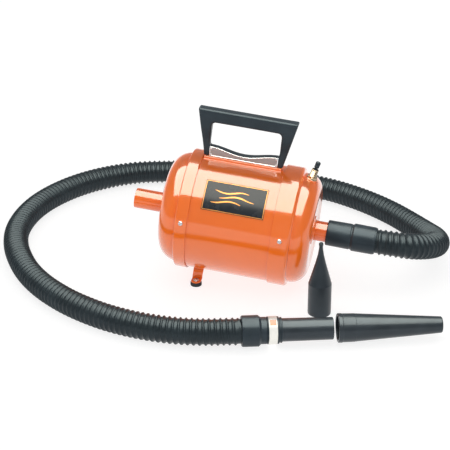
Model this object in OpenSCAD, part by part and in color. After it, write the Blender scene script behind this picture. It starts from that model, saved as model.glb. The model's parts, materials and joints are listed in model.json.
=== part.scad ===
// Portable canister blower with a corrugated hose, a straight wand and two rubber nozzles.
// The body lies along X and leans: two rubber feet hold up its left end, and the right
// cap's band rests on the floor. The floor is z = 0, -Y is the front.

/* [Body] */
// Outer radius of the steel shell
shell_r = 92; // [88:1:95]
// Half length of the steel shell
shell_half = 80; // [78:1:84]
// Sheet thickness of the shell
shell_wall = 1.5; // [1:0.1:2]
// Outer radius of the bands that slip over the shell
band_r = 94.5; // [94.2:0.1:97]
// Outer radius of the domed part of each end cap
dome_r = 87; // [85:0.5:88]
// Sheet thickness of the end caps
cap_wall = 1.6; // [1.2:0.1:2]
// Lean of the body, right end down, in degrees
lean = 6.3; // [4:0.1:8]
// Distance of the body's axis behind the origin
seat_y = 11; // [5:1:20]

/* [Air tubes] */
// Outer radius of the air tubes, for a 32 mm cuff
tube_r = 15.9; // [15:0.1:17]
// Wall of the air tubes
tube_wall = 1.6; // [1:0.1:2]
// Distance from the middle of the body to the inlet's mouth
inlet_end = 165; // [150:1:180]

/* [Handle] */
// Half width of the handle at its base
handle_base = 62; // [60:0.5:64]
// Half width of the handle at its top
handle_top = 78; // [72:0.5:80]
// Height of the handle's top above the body's axis
handle_h = 172; // [165:1:180]
// Half width of the opening for the hand
grip_half = 54.6; // [54:0.2:57]

/* [Hose] */
// Outer radius of the corrugated hose
hose_r = 20.5; // [18:0.5:22]
// Inner radius of the corrugated hose
hose_bore = 17; // [15:0.5:17]

/* [Switch] */
// Tilt of the switch away from upright in the body's own frame, in degrees
switch_tilt = 14; // [8:1:20]
// Throw of the lever to each side, in degrees
switch_throw = 12; // [8:1:13]

/* [Hidden] */
$fn = 96;

fit = 0.05;
small_fn = 32;
orange = [0.93, 0.42, 0.12];
black = [0.09, 0.10, 0.11];
steel = [0.75, 0.76, 0.78];
copper = [0.72, 0.42, 0.22];
rubber = [0.05, 0.05, 0.055];

// Bands: places of the end caps' rims and bands along the axis
left_rim = -64;
left_shoulder = -83;
right_rim = 65;
right_shoulder = 95;
left_edge_r = 1;
right_edge_r = 5;
axis_z = (right_shoulder - right_edge_r) * sin(lean) + (band_r - right_edge_r) * cos(lean)
  + right_edge_r;
screw_angles = [9, 129, 249];
screw_spots = [(left_rim + left_shoulder) / 2, (right_rim + right_shoulder) / 2];
screw_r = 2;
inlet_face = -116.2;
inlet_stop = -117.6;
outlet_face = 120.5;

plate_from = -46.5;
plate_to = 50;
plate_angle = -49;
plate_half = 24.2;

handle_mid = -1.5;
saddle_top = 95.8;
saddle_half = 61;
bolt_x = [handle_mid - 44, handle_mid + 44];
bolt_r = 3;
bar_half_depth = 5.5;
grip_half_depth = 9;
trim_t = 1.2;
trim_half = 54;
rivet_x = [handle_mid - 51, handle_mid + 51];
rivet_n = [98.8, 108.6];

bracket_x = -46.8;
bracket_w = 16;
strap_t = 2.3;
leg_y = 34;
foot_y = 46;
pad_r = 9;
pad_h = 6;
foot_x = (bracket_x - (axis_z - pad_h) * sin(lean)) / cos(lean);
leg_top = sqrt(pow(shell_r + strap_t / 2, 2) - pow(leg_y, 2));
leg_end = axis_z + 20;

switch_x = 106.8;
switch_n = 85.4;
lever_pivot = 12.5;

grommet_x = 40;
grommet_r = 6;

shaft_r = 4;
fan_r = 66;
housing_r = 72;

tube_end = 164;
cuff_x0 = 142.7;
cuff_x1 = 181.7;
cuff_x2 = 220.4;

// The wand's line: where the hose ends, its heading, and its slight fall to the floor
wand_from = [47, -214, 23.72];
wand_heading = 15.7;
wand_fall = 0.4;
nozzle_at = 142;

cone_at = [145.8, -91, 0];

// Points on the body's axis and on the wand's line, given by their place along each
function at_body(x) = [x * cos(lean), seat_y, axis_z - x * sin(lean)];
function at_wand(s) = wand_from + s * [cos(wand_heading) * cos(wand_fall),
  sin(wand_heading) * cos(wand_fall), -sin(wand_fall)];

// The hose's route: out of the outlet cuff, down to the floor, round behind the body and
// back along the front to the wand
hose_lead = 12;
ROUTE = concat([at_body(cuff_x2), at_body(cuff_x2 + hose_lead)], [
  [262, 17.5, 73], [283, 32, 66.5], [299, 54, 58.5], [308, 81, 49.5], [309, 110, 40.5],
  [303, 138, 33.5], [291, 165, 27.5], [275, 192, 23.5], [254, 220, 21.6], [225, 252, 21.1],
  [190, 283, 21], [150, 311, 21], [106, 334, 21], [50, 352, 21], [-8, 362, 21],
  [-78, 369.5, 21], [-150, 368, 21], [-225, 353, 21], [-270, 332, 21], [-308, 302, 21],
  [-340, 264, 21], [-365, 218, 21], [-381, 168, 21], [-387, 115, 21], [-383, 60, 21],
  [-368, 8, 21], [-345, -40, 21], [-317, -84, 21], [-284, -122, 21], [-246, -155, 21],
  [-207, -181, 21], [-160, -204, 21], [-112, -218.6, 21], [-62, -225.6, 21.3],
  [-14, -225.4, 22.4]], [at_wand(-hose_lead), wand_from]);

// ---- frames -------------------------------------------------------------

module posed() {
  translate([0, seat_y, axis_z]) rotate([0, lean, 0]) children();
}

module along_x(x = 0) {
  translate([x, 0, 0]) rotate([0, 90, 0]) children();
}

module around(angle) {
  rotate([-angle, 0, 0]) children();
}

module on_wand() {
  translate(wand_from) rotate([0, 0, wand_heading]) rotate([0, wand_fall, 0]) along_x() children();
}

module in_switch() {
  posed() translate([switch_x, 0, switch_n]) rotate([0, switch_tilt, 0]) children();
}

// A tube or disc about the body's axis, from x0 to x1
module ring_x(x0, x1, outer, inner = 0) {
  along_x(x0) difference() {
    cylinder(r = outer, h = x1 - x0);
    if (inner > 0) translate([0, 0, -1]) cylinder(r = inner, h = x1 - x0 + 2);
  }
}

// A lathe profile of [x, radius] points, turned about the body's axis
module lathe_x(points) {
  rotate([0, 90, 0]) rotate_extrude() polygon([for (p = points) [p[1], p[0]]]);
}

function arc(cx, cy, r, a0, a1, n) = [for (i = [0:n]) let (a = a0 + (a1 - a0) * i / n)
  [cx + r * cos(a), cy + r * sin(a)]];

// ---- swept tubes --------------------------------------------------------

function unit(v) = v / norm(v);
function heading(path, i) = unit(path[min(i + 1, len(path) - 1)] - path[max(i - 1, 0)]);
function carried(up, t) = unit(up - t * (up * t));
function ups(path, up0) = [for (i = 0, u = carried(up0, heading(path, 0)); i < len(path);
  i = i + 1, u = i < len(path) ? carried(u, heading(path, i)) : u) u];
function loop_points(path, frames, r, sides) = [for (i = [0:len(path) - 1], k = [0:sides - 1])
  let (a = 360 * k / sides, side = cross(heading(path, i), frames[i]))
  path[i] + r * (cos(a) * frames[i] + sin(a) * side)];
function skin(n, sides, from, flip) = [for (i = [0:n - 2], k = [0:sides - 1])
  let (a = from + i * sides + k, b = from + i * sides + (k + 1) % sides)
  flip ? [a, b, b + sides, a + sides] : [a + sides, b + sides, b, a]];

// A solid rod of round section along a path
module rod(path, r, sides, up = [0, 0, 1]) {
  n = len(path);
  frames = ups(path, up);
  polyhedron(loop_points(path, frames, r, sides), concat(skin(n, sides, 0, false),
    [[for (k = [0:sides - 1]) k]],
    [[for (k = [sides - 1:-1:0]) (n - 1) * sides + k]]), convexity = 6);
}

// A hollow tube along a path, with a flat annulus at each end
module tube(path, r, bore, sides, up = [0, 0, 1]) {
  n = len(path);
  frames = ups(path, up);
  inner = n * sides;
  last = (n - 1) * sides;
  start_face = [for (k = [0:sides - 1]) let (j = (k + 1) % sides) [inner + k, k, j, inner + j]];
  end_face = [for (k = [0:sides - 1]) let (j = (k + 1) % sides)
    [inner + last + j, last + j, last + k, inner + last + k]];
  polyhedron(concat(loop_points(path, frames, r, sides), loop_points(path, frames, bore, sides)),
    concat(skin(n, sides, 0, false), skin(n, sides, inner, true), start_face, end_face),
    convexity = 10);
}

// Smooth curve through the route's points, with a few rings between neighbours
function between(p, i, t) = let (
  a = p[max(i - 1, 0)], b = p[i], c = p[i + 1], d = p[min(i + 2, len(p) - 1)])
  0.5 * (2 * b + (c - a) * t + (2 * a - 5 * b + 4 * c - d) * t * t
    + (3 * b - a - 3 * c + d) * t * t * t);
function smooth(p, steps) = concat([for (i = [0:len(p) - 2], s = [0:steps - 1])
  between(p, i, s / steps)], [p[len(p) - 1]]);

// ---- body ---------------------------------------------------------------

module cap_screw_holes(r) {
  for (x = screw_spots, a = screw_angles) around(a - 90) translate([x, 0, shell_r - 8])
    cylinder(r = r, h = 20, $fn = small_fn);
}

module shell() {
  color(orange) posed() difference() {
    ring_x(-shell_half, shell_half, shell_r, shell_r - shell_wall);
    cap_screw_holes(screw_r + fit);
    for (x = bolt_x) translate([x, 0, shell_r - 10]) cylinder(r = bolt_r + 0.2, h = 20, $fn = small_fn);
    for (a = [-12, 12]) rotate([a, 0, 0]) translate([bracket_x, 0, -shell_r - 5])
      cylinder(r = screw_r + fit, h = 20, $fn = small_fn);
    translate([grommet_x, shell_r - 10, 0]) rotate([-90, 0, 0]) cylinder(r = grommet_r + fit, h = 20);
  }
}

// Lathe profile of an end cap: outside from the rim to the hole, then back along the inside
module cap_profile(rim, shoulder, edge_r, corner_x, corner_r, face) {
  top = dome_r - corner_r;
  hole = tube_r + fit;
  skirt = shell_r + fit;
  lathe_x(concat(
    [[rim, skirt], [rim, band_r - 0.6], [rim + 0.6, band_r]],
    arc(shoulder - edge_r, band_r - edge_r, edge_r, 90, 0, 6),
    [[shoulder + 0.5, dome_r]],
    arc(corner_x, top, corner_r, 90, 0, 12),
    [[face[0][0], face[0][1]], [face[1][0], face[1][1]], [face[1][0], hole],
     [face[1][0] - cap_wall, hole], [face[1][0] - cap_wall, face[1][1]],
     [face[0][0] - cap_wall, face[0][1]]],
    arc(corner_x, top, corner_r - cap_wall, 0, 90, 12),
    [[shoulder - cap_wall, dome_r - cap_wall], [shoulder - cap_wall, skirt]]));
}

module left_end_cap() {
  color(orange) posed() difference() {
    mirror([1, 0, 0]) cap_profile(-left_rim, -left_shoulder, left_edge_r, 84, 30,
      [[115.2, 40], [-inlet_face, 22]]);
    cap_screw_holes(screw_r + fit);
  }
}

module right_end_cap() {
  color(orange) difference() {
    union() {
      posed() cap_profile(right_rim, right_shoulder, right_edge_r, 98, 26,
        [[122, 46], [outlet_face, 26]]);
      in_switch() translate([0, 0, -4.5]) cylinder(r = 9.5, h = 5.3);
    }
    posed() cap_screw_holes(screw_r + fit);
    in_switch() translate([0, 0, -10]) cylinder(r = 5.5 + fit, h = 20, $fn = small_fn);
  }
}

module cap_screws() {
  color(steel) posed() for (x = screw_spots, a = screw_angles) around(a - 90)
    translate([x, 0, 0]) difference() {
      union() {
        translate([0, 0, shell_r - 7]) cylinder(r = screw_r, h = 11, $fn = small_fn);
        translate([0, 0, band_r + 0.1]) cylinder(r1 = 3.6, r2 = 2.6, h = 1.7, $fn = small_fn);
      }
      for (s = [0, 90]) rotate([0, 0, s]) translate([-1.8, -0.4, band_r + 1]) cube([3.6, 0.8, 3]);
    }
}

module air_tube(x0, x1, outer = tube_r) {
  posed() ring_x(x0, x1, outer, tube_r - tube_wall);
}

// The tube stands clear of the cap up to its face, then a slimmer neck passes through
module inlet_tube() {
  color(orange) {
    air_tube(-inlet_end, inlet_stop);
    air_tube(inlet_stop - 0.01, inlet_face + cap_wall + 0.1, tube_r - 0.2);
  }
}

module intake_screen() {
  color(steel) posed() along_x(inlet_face + cap_wall + 0.11) difference() {
    cylinder(r = tube_r + 1.5, h = 1);
    for (ring = [1, 2], k = [0:6 * ring - 1]) rotate([0, 0, 60 * k / ring])
      translate([5.5 * ring, 0, -1]) cylinder(r = 1.9, h = 3, $fn = small_fn);
    translate([0, 0, -1]) cylinder(r = 1.9, h = 3, $fn = small_fn);
  }
}

module outlet_tube() {
  color(orange) air_tube(outlet_face - cap_wall - 2, tube_end);
}

module outlet_collar() {
  color(orange) posed() ring_x(outlet_face, outlet_face + 2, 22.5, tube_r + fit);
}

// Thin curved plate on the front of the shell
module name_plate() {
  color(black) posed() intersection() {
    ring_x(plate_from, plate_to, shell_r + 0.7, shell_r + 0.02);
    around(plate_angle) translate([-60, -plate_half, 60]) cube([120, 2 * plate_half, 60]);
  }
}

// ---- handle -------------------------------------------------------------

// A low painted channel that carries the handle level above the curved shell
module handle_saddle() {
  color(orange) posed() difference() {
    translate([handle_mid - saddle_half, -9, 80]) cube([2 * saddle_half, 18, saddle_top - 80]);
    translate([handle_mid - saddle_half + 2, -7, 70]) cube([2 * saddle_half - 4, 14, saddle_top - 72]);
    ring_x(-70, 70, shell_r + fit);
    for (x = bolt_x) translate([x, 0, 80]) cylinder(r = bolt_r + 0.2, h = 30, $fn = small_fn);
  }
}

// Upper edge of the base bar and of the trim plates: level ends and a long hollow between
function hollow(half, top, dip, n) = [for (i = [0:n]) let (x = -half + 2 * half * i / n)
  [x, top - dip * (0.5 + 0.5 * cos(180 * x / half))]];

module handle_outline() {
  r = 6.5;
  difference() {
    polygon([[-handle_base, saddle_top + 0.05], [handle_base, saddle_top + 0.05],
      [handle_top, handle_h - 2], [handle_top - 2, handle_h],
      [-handle_top + 2, handle_h], [-handle_top, handle_h - 2]]);
    polygon(concat(
      arc(grip_half - r, 152 - r, r, 0, 90, 6),
      arc(-grip_half + r, 152 - r, r, 90, 180, 6),
      [[-grip_half, 115]],
      hollow(grip_half - 3, 111.5, 7.5, 16),
      [[grip_half, 115]]));
  }
}

// Side profile: deep at the grip, slim at the base bar
module handle_depth() {
  polygon([[-bar_half_depth, 90], [bar_half_depth, 90], [bar_half_depth, 114],
    [grip_half_depth, 148], [grip_half_depth, 168], [grip_half_depth - 4, handle_h],
    [-grip_half_depth + 4, handle_h], [-grip_half_depth, 168], [-grip_half_depth, 148],
    [-bar_half_depth, 114]]);
}

module handle() {
  color(black) posed() difference() {
    intersection() {
      translate([handle_mid, 20, 0]) rotate([90, 0, 0]) linear_extrude(40) handle_outline();
      translate([-90, 0, 0]) rotate([90, 0, 90]) linear_extrude(180) handle_depth();
    }
    for (x = bolt_x) translate([x, 0, 90]) cylinder(r = bolt_r + fit, h = 17, $fn = small_fn);
    for (x = rivet_x, n = rivet_n) translate([x, 10, n]) rotate([90, 0, 0])
      cylinder(r = 0.9 + fit, h = 20, $fn = small_fn);
  }
}

module trim_plate(y0, top, dip) {
  color(steel) posed() difference() {
    translate([handle_mid, y0 + trim_t, 0]) rotate([90, 0, 0]) linear_extrude(trim_t)
      polygon(concat([[trim_half - 1, saddle_top + 0.3], [-trim_half + 1, saddle_top + 0.3],
        [-trim_half, saddle_top + 1.3]], hollow(trim_half, top, dip, 20),
        [[trim_half, saddle_top + 1.3]]));
    for (x = rivet_x, n = rivet_n) translate([x, 20, n]) rotate([90, 0, 0])
      cylinder(r = 0.9 + fit, h = 40, $fn = small_fn);
  }
}

module handle_trim_front() {
  trim_plate(-bar_half_depth - 0.02 - trim_t, 112, 8.5);
}

module handle_trim_rear() {
  trim_plate(bar_half_depth + 0.02, 111.3, 7.5);
}

module trim_rivets() {
  face = bar_half_depth + trim_t + 0.04;
  color(steel) posed() for (x = rivet_x, n = rivet_n) translate([x, 0, n]) rotate([90, 0, 0]) {
    cylinder(r = 0.9, h = 2 * face, center = true, $fn = small_fn);
    for (side = [0, 1]) mirror([0, 0, side]) translate([0, 0, face])
      cylinder(r1 = 1.7, r2 = 1.1, h = 0.8, $fn = small_fn);
  }
}

module handle_bolts() {
  color(steel) posed() for (x = bolt_x) translate([x, 0, 0]) {
    translate([0, 0, shell_r - shell_wall - 1.5]) cylinder(r = bolt_r, h = 17.5, $fn = small_fn);
    translate([0, 0, shell_r - shell_wall - 5.6]) cylinder(r = 5.8, h = 4, $fn = 6);
    translate([0, 0, shell_r - shell_wall - 1.6]) cylinder(r = 7, h = 1.3, $fn = small_fn);
  }
}

// ---- feet ---------------------------------------------------------------

module foot_bracket() {
  color(orange) difference() {
    union() {
      posed() intersection() {
        ring_x(bracket_x - bracket_w / 2, bracket_x + bracket_w / 2, shell_r + strap_t, shell_r + 0.05);
        translate([bracket_x - 20, -leg_y - 1, -110]) cube([40, 2 * leg_y + 2, 60]);
      }
      for (side = [-1, 1]) intersection() {
        posed() translate([bracket_x - bracket_w / 2, side * leg_y - (side > 0 ? 0 : strap_t), -leg_end])
          cube([bracket_w, strap_t, leg_end - leg_top]);
        translate([-120, -100, pad_h]) cube([120, 200, 60]);
      }
      for (side = [-1, 1]) translate([foot_x, seat_y, pad_h]) {
        translate([0, side * foot_y, 0]) cylinder(r = bracket_w / 2, h = strap_t);
        translate([-bracket_w / 2, side > 0 ? leg_y : -foot_y, 0]) cube([bracket_w, foot_y - leg_y, strap_t]);
      }
    }
    foot_holes(2.1);
    posed() for (a = [-12, 12]) rotate([a, 0, 0]) translate([bracket_x, 0, -shell_r - 10])
      cylinder(r = screw_r + fit, h = 20, $fn = small_fn);
  }
}

module foot_holes(r) {
  for (side = [-1, 1]) translate([foot_x, seat_y + side * foot_y, 1.5])
    cylinder(r = r, h = 20, $fn = small_fn);
}

module bracket_rivets() {
  color(steel) posed() for (a = [-12, 12]) rotate([a, 0, 0]) translate([bracket_x, 0, 0]) {
    translate([0, 0, -shell_r - 3.7]) cylinder(r1 = 2.4, r2 = 3.8, h = 1.3, $fn = small_fn);
    translate([0, 0, -shell_r - 3]) cylinder(r = screw_r, h = 5.5, $fn = small_fn);
    translate([0, 0, -shell_r + shell_wall + 0.15]) cylinder(r = 3.4, h = 1.2, $fn = small_fn);
  }
}

module foot_pads() {
  color(rubber) for (side = [-1, 1]) translate([foot_x, seat_y + side * foot_y, 0]) difference() {
    union() {
      translate([0, 0, 1]) cylinder(r = pad_r, h = pad_h - 1);
      cylinder(r1 = pad_r - 1, r2 = pad_r, h = 1);
    }
    translate([0, 0, 1.5]) cylinder(r = 2 + fit, h = 20, $fn = small_fn);
  }
}

module foot_screws() {
  top = pad_h + strap_t;
  color(steel) for (side = [-1, 1]) translate([foot_x, seat_y + side * foot_y, 0]) difference() {
    union() {
      translate([0, 0, 2]) cylinder(r = 2, h = top - 1, $fn = small_fn);
      translate([0, 0, top]) cylinder(r = 4.2, h = 1.6, $fn = small_fn);
      translate([0, 0, top + 1.6]) cylinder(r1 = 4.2, r2 = 2.8, h = 1.4, $fn = small_fn);
    }
    for (s = [0, 90]) rotate([0, 0, s]) translate([-2.2, -0.5, top + 1.6]) cube([4.4, 1, 3]);
  }
}

// ---- switch -------------------------------------------------------------

module switch_body() {
  color(black) in_switch() difference() {
    union() {
      translate([-8, -6.5, -24]) cube([16, 13, 15]);
      for (x = [-4.5, 4.5]) translate([x - 1.5, -2.5, -29]) cube([3, 5, 5.5]);
    }
    translate([0, 0, -10.2]) cylinder(r = 2.5, h = 5, $fn = small_fn);
  }
}

module switch_bushing() {
  color([0.78, 0.68, 0.46]) in_switch() difference() {
    translate([0, 0, -9]) cylinder(r = 5.5, h = 26, $fn = small_fn);
    translate([0, 0, 8]) cylinder(r = 4.1, h = 10, $fn = small_fn);
  }
}

module switch_nut() {
  color([0.78, 0.68, 0.46]) in_switch() translate([0, 0, 0.82]) difference() {
    union() {
      cylinder(r = 8.6, h = 0.9);
      translate([0, 0, 0.9]) cylinder(r = 8.2, h = 2.6, $fn = 6);
    }
    translate([0, 0, -1]) cylinder(r = 5.5 + fit, h = 6, $fn = small_fn);
  }
}

module switch_lever() {
  color(black) in_switch() translate([0, 0, lever_pivot]) rotate([-switch_throw, 0, 0]) {
    sphere(r = 3.4, $fn = small_fn);
    cylinder(r = 2.4, h = 8, $fn = small_fn);
    translate([0, 0, 6.2]) cylinder(r1 = 3.4, r2 = 4, h = 2, $fn = small_fn);
    translate([0, 0, 8.2]) cylinder(r = 4, h = 7.3, $fn = small_fn);
    translate([0, 0, 15.5]) cylinder(r1 = 4, r2 = 2.6, h = 1.6, $fn = small_fn);
  }
}

module cord_grommet() {
  color(rubber) posed() translate([grommet_x, 0, 0]) rotate([-90, 0, 0]) difference() {
    union() {
      translate([0, 0, shell_r - 5.5]) cylinder(r = grommet_r + 2, h = 3.4);
      translate([0, 0, shell_r - 3]) cylinder(r = grommet_r, h = 4);
      translate([0, 0, shell_r + 0.05]) cylinder(r1 = grommet_r + 3, r2 = grommet_r, h = 5);
    }
    translate([0, 0, shell_r - 10]) cylinder(r = 3.6, h = 20);
  }
}

// ---- motor: parts that stand still ---------------------------------------

module plate_bolt_holes(x, r) {
  for (k = [0:3]) rotate([90 * k + 45, 0, 0]) translate([x, 0, 62]) rotate([0, 90, 0])
    cylinder(r = r, h = 20, center = true, $fn = small_fn);
}

module motor_plate() {
  color(steel) posed() difference() {
    union() {
      ring_x(-62, -60, shell_r - shell_wall - 0.1, 32);
      ring_x(-60.5, -54, shell_r - shell_wall - 0.1, shell_r - shell_wall - 1.6);
    }
    plate_bolt_holes(-61, screw_r + fit);
  }
}

module mount_gasket() {
  color(rubber) posed() difference() {
    ring_x(-60, -56, 71, 50);
    plate_bolt_holes(-58, screw_r + fit);
  }
}

module fan_housing() {
  color(steel) posed() difference() {
    union() {
      ring_x(-56, -54.8, housing_r, 24);
      ring_x(-55, -4, housing_r, housing_r - 1.2);
    }
    plate_bolt_holes(-55, screw_r + fit);
  }
}

module housing_screws() {
  color(steel) posed() for (k = [0:3]) rotate([90 * k + 45, 0, 0]) translate([-66, 0, 62])
    rotate([0, 90, 0]) {
      cylinder(r1 = 2.6, r2 = 3.8, h = 1.2, $fn = small_fn);
      translate([0, 0, 1.2]) cylinder(r = 3.8, h = 2.8, $fn = small_fn);
      translate([0, 0, 3.5]) cylinder(r = screw_r, h = 10, $fn = small_fn);
      translate([0, 0, 11.3]) cylinder(r = 3.4, h = 1.6, $fn = 6);
    }
}

// Return vanes that carry the air from the first fan's rim to the second fan's eye
module diffuser() {
  color(steel) posed() {
    ring_x(-31, -29.6, housing_r - 1.25, 14);
    for (k = [0:7]) rotate([45 * k, 0, 0]) translate([-33.5, -0.6, 22]) cube([2.6, 1.2, 44]);
  }
}

module front_bell() {
  color([0.62, 0.63, 0.65]) posed() difference() {
    union() {
      ring_x(-8, -5, housing_r - 1.25);
      ring_x(-5.5, 2.6, 15);
      ring_x(-5.5, 8, 50, 46.5);
    }
    ring_x(-6.5, 9, 11 + fit);
    ring_x(-20, 9, 7);
    for (k = [0:7]) rotate([45 * k, 0, 0]) translate([0, 0, 31]) along_x(-10)
      cylinder(r = 9, h = 8);
  }
}

module stator_core() {
  color([0.5, 0.5, 0.52]) posed() difference() {
    ring_x(8.02, 46, 48, 26.6);
    for (side = [0, 180], y = [-21, 13]) rotate([side, 0, 0]) translate([8, y, 28.2]) cube([38.1, 8, 11.4]);
  }
}

// Field coils: a bundle of wire through each pair of slots, closed across both ends
module field_coils() {
  color(copper) posed() for (side = [0, 180]) rotate([side, 0, 0]) difference() {
    translate([2.5, -20.8, 28.4]) cube([49, 41.6, 11]);
    translate([7.6, -13.2, 20]) cube([38.8, 26.4, 30]);
    ring_x(0, 60, 30);
  }
}

module rear_bell() {
  color([0.62, 0.63, 0.65]) posed() difference() {
    union() {
      ring_x(46.02, 66, 50, 46.5);
      ring_x(64, 67, 50);
      ring_x(66.5, 76, 14);
    }
    ring_x(68, 80, 9.5 + fit);
    ring_x(60, 80, 6);
    for (k = [0:5]) rotate([60 * k + 30, 0, 0]) translate([0, 0, 31]) along_x(60)
      cylinder(r = 9, h = 20);
    for (k = [0:5]) rotate([60 * k, 0, 0]) translate([50, -9, 40]) cube([10, 18, 20]);
  }
}

module bearing(x0, x1, outer, inner) {
  color(steel) posed() difference() {
    ring_x(x0, x1, outer, inner);
    for (x = [x0 - 1, x1 - 0.5]) along_x(x) difference() {
      cylinder(r = outer - 2, h = 1.5);
      translate([0, 0, -1]) cylinder(r = inner + 1.8, h = 4);
    }
  }
}

module bearing_front() {
  bearing(-6.4, 0.6, 11, shaft_r + 0.03);
}

module bearing_rear() {
  bearing(68.1, 74.1, 9.5, 3.53);
}

module brush_holders() {
  color([0.72, 0.58, 0.3]) posed() for (side = [0, 1]) mirror([0, side, 0]) difference() {
    translate([54.2, 15, -5]) cube([9.75, 27, 10]);
    translate([55.7, 10, -3.3]) cube([6.6, 30, 6.6]);
  }
}

module brushes() {
  color([0.15, 0.15, 0.16]) posed() for (side = [0, 1]) mirror([0, side, 0]) difference() {
    translate([55.9, 12.5, -3.1]) cube([6.2, 14.5, 6.2]);
    ring_x(50, 66, 13.3);
  }
}

module brush_springs() {
  turns = 4;
  per = 10;
  color(steel) posed() for (side = [0, 1]) mirror([0, side, 0]) rod(
    [for (i = [0:turns * per]) let (a = 360 * i / per)
      [59 + 2.3 * cos(a), 27.8 + 11 * i / (turns * per), 2.3 * sin(a)]], 0.4, 6, [0, 1, 0]);
}

module rear_mount_ring() {
  color(rubber) posed() ring_x(68.5, 75.5, 21.9, 14.05);
}

module motor_spider() {
  inner = shell_r - shell_wall;
  color(steel) posed() {
    difference() {
      union() {
        ring_x(69.5, 74.5, 26, 21.95);
        ring_x(69.5, 76.5, inner - 0.1, inner - 1.7);
        for (k = [0:2]) rotate([120 * k + 60, 0, 0]) translate([69.5, -6, 24]) cube([2.5, 12, inner - 25]);
      }
      cap_screw_holes(screw_r + fit);
    }
  }
}

// ---- motor: parts that turn ------------------------------------------------

module shaft() {
  color(steel) posed() {
    ring_x(-53.5, 66.5, shaft_r);
    ring_x(66.4, 75, 3.5);
  }
}

module armature_core() {
  color([0.45, 0.45, 0.47]) posed() difference() {
    ring_x(8.5, 45.5, 26, shaft_r + 0.02);
    for (k = [0:11]) rotate([30 * k, 0, 0]) translate([8, -1.6, 17]) cube([38, 3.2, 12]);
  }
}

module armature_windings() {
  color(copper) posed() {
    lathe_x([[3.4, 9], [3.4, 19], [5.4, 22.5], [8.45, 23.5], [8.45, shaft_r + 0.5], [5, shaft_r + 0.5]]);
    lathe_x([[45.55, shaft_r + 0.5], [45.55, 23.5], [48.6, 22.5], [51, 19], [52.5, 11],
      [52.5, shaft_r + 0.5]]);
    for (k = [0:11]) rotate([30 * k, 0, 0]) translate([8.4, -1.5, 17.1]) cube([37.2, 3, 6]);
  }
}

module commutator() {
  color(copper) posed() difference() {
    ring_x(52.6, 63.4, 13, shaft_r + 0.02);
    for (k = [0:19]) rotate([18 * k, 0, 0]) translate([52, -0.3, 11]) cube([12, 0.6, 4]);
  }
}

// A closed centrifugal fan: two discs with curved vanes between, open at the eye and rim
module fan(x0) {
  t = 1.2;
  w = 13;
  color([0.8, 0.81, 0.83]) posed() {
    ring_x(x0, x0 + t, fan_r, 25);
    ring_x(x0 + w - t, x0 + w, fan_r, shaft_r + 0.02);
    ring_x(x0 + w - 5, x0 + w - t + 0.1, 9, shaft_r + 0.02);
    for (k = [0:6]) rotate([360 * k / 7, 0, 0]) translate([x0 + t - 0.1, 0, 0]) rotate([0, 90, 0])
      linear_extrude(w - 2 * t + 0.2) difference() {
        translate([0, 24]) intersection() {
          circle(r = 42, $fn = 64);
          translate([2, -2]) square([40, 40]);
        }
        translate([0, 24]) circle(r = 40.8, $fn = 64);
        difference() {
          circle(r = 120);
          circle(r = fan_r - 0.5);
        }
      }
  }
}

module fan_first() {
  fan(-50.5);
}

module fan_second() {
  fan(-25);
}

module fan_spacers() {
  color(steel) posed() {
    ring_x(-37.45, -25.1 + 8.05, 6.5, shaft_r + 0.02);
    ring_x(-11.95, -6.6, 6, shaft_r + 0.02);
  }
}

module shaft_nut() {
  color(steel) posed() along_x(-47) difference() {
    union() {
      cylinder(r = 6.6, h = 4, $fn = 6);
      translate([0, 0, 3.9]) cylinder(r = 7.5, h = 0.5, $fn = small_fn);
    }
    translate([0, 0, -1]) cylinder(r = shaft_r + 0.02, h = 8, $fn = small_fn);
  }
}

// ---- hose and its fittings -------------------------------------------------

// The first and last stretches stay straight, so that the ends meet the cuffs squarely
module hose() {
  inner = [for (i = [1:len(ROUTE) - 2]) ROUTE[i]];
  color(black) tube(concat([ROUTE[0]], smooth(inner, 2), [wand_from]), hose_r, hose_bore, 10);
}

module outlet_cuff() {
  color(black) posed() difference() {
    union() {
      ring_x(cuff_x0, cuff_x1 + 0.5, 20);
      ring_x(cuff_x1, cuff_x2 - 0.1, 21.5);
    }
    ring_x(cuff_x0 - 1, tube_end + 0.1, tube_r + 0.02);
    ring_x(tube_end, cuff_x2 + 5, tube_r - 0.6);
  }
}

module wand_ring(s0, s1, outer, inner) {
  translate([0, 0, s0]) difference() {
    cylinder(r = outer, h = s1 - s0);
    translate([0, 0, -1]) cylinder(r = inner, h = s1 - s0 + 2);
  }
}

module wand_cuff() {
  color(black) on_wand() difference() {
    union() {
      wand_ring(0.1, 28.6, 23.5, 15);
      wand_ring(28.5, 37.4, 20, 15);
    }
    translate([0, 0, 8]) cylinder(r = 17.25, h = 60);
  }
}

module wand_collar() {
  color(black) on_wand() wand_ring(37.7, 60, 18.4, 17.25);
}

module label_band() {
  color([0.9, 0.9, 0.86]) on_wand() wand_ring(38, 51.7, 21.4, 18.45);
}

// The wand: a straight tube with a slight taper towards its open end
module wand() {
  color(black) on_wand() difference() {
    union() {
      translate([0, 0, 10]) cylinder(r = 17.2, h = 52);
      translate([0, 0, 62]) cylinder(r1 = 17.2, r2 = 16.6, h = 73.4);
    }
    translate([0, 0, 0]) cylinder(r = 14.6, h = 160);
  }
}

module taper_nozzle() {
  color(rubber) on_wand() translate([0, 0, nozzle_at]) difference() {
    union() {
      cylinder(r1 = 21.8, r2 = 21.6, h = 20);
      translate([0, 0, 20]) cylinder(r1 = 21, r2 = 12, h = 135);
    }
    translate([0, 0, -1]) cylinder(r = 17.6, h = 31);
    translate([0, 0, 29.9]) cylinder(r1 = 16.5, r2 = 8.6, h = 130);
  }
}

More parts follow.
